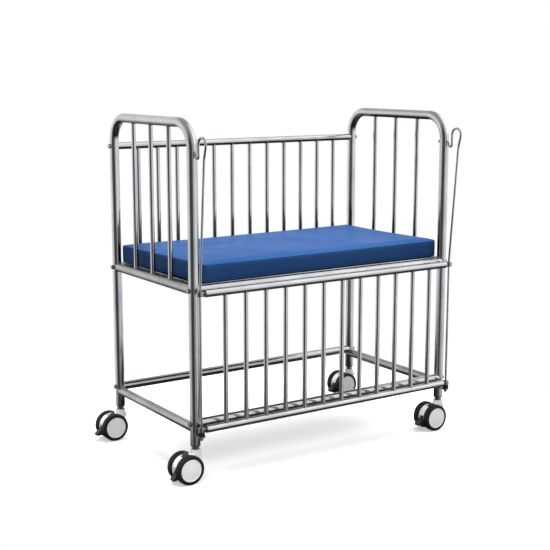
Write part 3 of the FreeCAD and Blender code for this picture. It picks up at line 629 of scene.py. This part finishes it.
def end_welds(mesh, side, x):
    """Beads of one hooped end: its spindles, and its cross rails where they meet the posts."""
    deck, rail_radius = across(side + "_deck_rail", 2)
    base = across(side + "_base_rail", 2)[0]
    for y in row("end_spindles", 1, SPINDLE_COUNT):
        weld(mesh, (x, y, deck), bar_radius, rail_radius, UP, ALONG_Y)
        weld(mesh, (x, y, hoop_line), bar_radius, post_radius, DOWN, ALONG_Y)
    for height in (deck, base):
        weld(mesh, (x, front_y, height), rail_radius, post_radius, ALONG_Y, UP)
        weld(mesh, (x, rear_y, height), rail_radius, post_radius, AGAINST_Y, UP)


frame_beads = bmesh.new()
bar_welds(frame_beads, "rear_bars", "rear_deck_rail", "rear_top_rail")
end_welds(frame_beads, "left", left_x)
end_welds(frame_beads, "right", right_x)
welded("frame_welds", frame_beads, "frame")

side_beads = bmesh.new()
bar_welds(side_beads, "side_bars", "side_bottom_rail", "side_top_rail")
welded("side_welds", side_beads, "drop_side")

# %% [markdown]
# ## The studio
#
# A round pale floor, soft light from above and a sky that is bright along the horizon. Polished tube shows
# nothing but what stands round it. The horizon is dark where the camera stands, at the cot's left front,
# which draws the dark streak down every post. A soft bright patch high at the right front gives the long
# rails their light upper edges. The camera sees plain white. To every other ray the floor is painted dark
# grey, a painted dark reflection along the lower sides of the tubes. The floor fades out towards its rim,
# and it is clear from below, so that the cot's underside can be looked at.

# %% Sky
SKY_STRENGTH = 0.97
GROUND_LEVEL = 0.02         # shares of the strength: straight down,
ZENITH_LEVEL = 0.4          # overhead,
DARK_LEVEL = 0.08           # and on the dark side
DARK_SIDE = (-0.80, -0.60, 0.0)
BRIGHT_PATCH = (0.72, -0.25, 0.65)
PATCH_STRENGTH = 0.9


def build_sky():
    """Studio walls: strength by direction, for everything but the camera."""
    world = bpy.data.worlds.new("studio")
    bpy.context.scene.world = world
    tree = empty_tree(world)
    direction = add(tree, "TexCoord", {}, "Generated")
    height = add(tree, "SeparateXYZ", {"Vector": direction}, "Z")
    rise = add(tree, "MapRange", {"Value": height, "From Min": -0.6, "From Max": -0.1,
                                  "To Min": GROUND_LEVEL}, interpolation_type="SMOOTHSTEP")
    fall = add(tree, "MapRange", {"Value": height, "From Min": 0.2, "From Max": 0.85, "To Min": 1.0,
                                  "To Max": ZENITH_LEVEL}, interpolation_type="SMOOTHSTEP")
    facing = add(tree, "VectorMath", {0: direction, 1: DARK_SIDE}, "Value", operation="DOT_PRODUCT")
    wall = add(tree, "MapRange", {"Value": facing, "From Min": 0.5, "From Max": 0.95,
                                  "To Min": 1.0, "To Max": DARK_LEVEL}, interpolation_type="SMOOTHSTEP")
    band = add(tree, "Math", {0: rise, 1: fall}, operation="MULTIPLY")
    shaded = add(tree, "Math", {0: band, 1: wall}, operation="MULTIPLY")
    towards = add(tree, "VectorMath", {0: direction, 1: BRIGHT_PATCH}, "Value", operation="DOT_PRODUCT")
    patch = add(tree, "MapRange", {"Value": towards, "From Min": 0.75, "From Max": 0.95,
                                   "To Max": PATCH_STRENGTH}, interpolation_type="SMOOTHSTEP")
    strength = add(tree, "Math", {0: shaded, 1: SKY_STRENGTH, 2: patch}, operation="MULTIPLY_ADD")
    seen = add(tree, "Background", {"Color": (1, 1, 1, 1), "Strength": 1.0})
    lit = add(tree, "Background", {"Color": (1, 1, 1, 1), "Strength": strength})
    to_camera = add(tree, "LightPath", {}, "Is Camera Ray")
    add(tree, "OutputWorld", {"Surface": add(tree, "MixShader", {0: to_camera, 1: lit, 2: seen})})


build_sky()

# %% Floor
FLOOR_SOLID = 0.55          # radius of the floor that is fully there
FLOOR_RIM = 1.3             # radius where it has faded out
FLOOR_LIFT = 0.3            # glow for the camera alone, which keeps the shadows pale
FLOOR_PAPER = "#E6E6E6"
FLOOR_MOTTLE = "#EAEAEA"
# painted dark reflection: the floor's colour for every ray but the camera's
FLOOR_PAINTED_REFLECTION = "#303030"


def build_floor():
    """Pale round floor at the height of the wheels' treads."""
    mesh = bmesh.new()
    bmesh.ops.create_circle(mesh, cap_ends=True, segments=96, radius=FLOOR_RIM)
    floor = linked("studio_floor", mesh)
    material = bpy.data.materials.new("pale_paper_floor")
    tree = empty_tree(material)
    place = add(tree, "TexCoord", {}, "Object")
    away = add(tree, "VectorMath", {0: place}, "Value", operation="LENGTH")
    gone = add(tree, "MapRange", {"Value": away, "From Min": FLOOR_SOLID, "From Max": FLOOR_RIM},
               interpolation_type="SMOOTHSTEP")
    mottle = add(tree, "TexNoise", {"Vector": place, "Scale": 2.0, "Detail": 3.0})
    pale = add(tree, "Mix", {0: mottle, 6: linear(FLOOR_PAPER), 7: linear(FLOOR_MOTTLE)}, 2, data_type="RGBA")
    to_camera = add(tree, "LightPath", {}, "Is Camera Ray")
    # Painted dark reflection: every ray but the camera's sees the floor in the painted dark colour.
    colour = add(tree, "Mix", {0: to_camera, 6: linear(FLOOR_PAINTED_REFLECTION), 7: pale}, 2, data_type="RGBA")
    paper = add(tree, "BsdfDiffuse", {"Color": colour})
    lift = add(tree, "Math", {0: to_camera, 1: FLOOR_LIFT}, operation="MULTIPLY")
    lifted = add(tree, "AddShader", {0: paper, 1: add(tree, "Emission", {"Strength": lift})})
    below = add(tree, "NewGeometry", {}, "Backfacing")
    unseen = add(tree, "Math", {0: gone, 1: below}, operation="MAXIMUM")
    clear = add(tree, "BsdfTransparent", {})
    add(tree, "OutputMaterial", {"Surface": add(tree, "MixShader", {0: unseen, 1: lifted, 2: clear})})
    floor.data.materials.append(material)


build_floor()

# %% [markdown]
# ## Lamps
#
# Two softboxes: a strong one overhead, which makes the mattress's top so much lighter than its sides, and a
# weaker one beside the camera, which fills the wheel discs and the near faces. Neither shows in the tubes:
# a square light there would draw a hard-edged spot on every bend.

# %% Softboxes
def build_lamp(name, place, size, power):
    """Square softbox that points at the mattress."""
    light = bpy.data.lights.new(name, "AREA")
    light.shape = "SQUARE"
    light.size = size
    light.energy = power
    lamp = bpy.data.objects.new(name, light)
    lamp.location = place
    lamp.rotation_euler = (cover_middle - Vector(place)).to_track_quat("-Z", "Y").to_euler()
    lamp.visible_glossy = False
    bpy.context.scene.collection.objects.link(lamp)


build_lamp("overhead_softbox", place=(0.3, 0.2, 3.6), size=2.8, power=380.0)
build_lamp("fill_softbox", place=(-3.0, -3.7, 1.9), size=2.4, power=145.0)
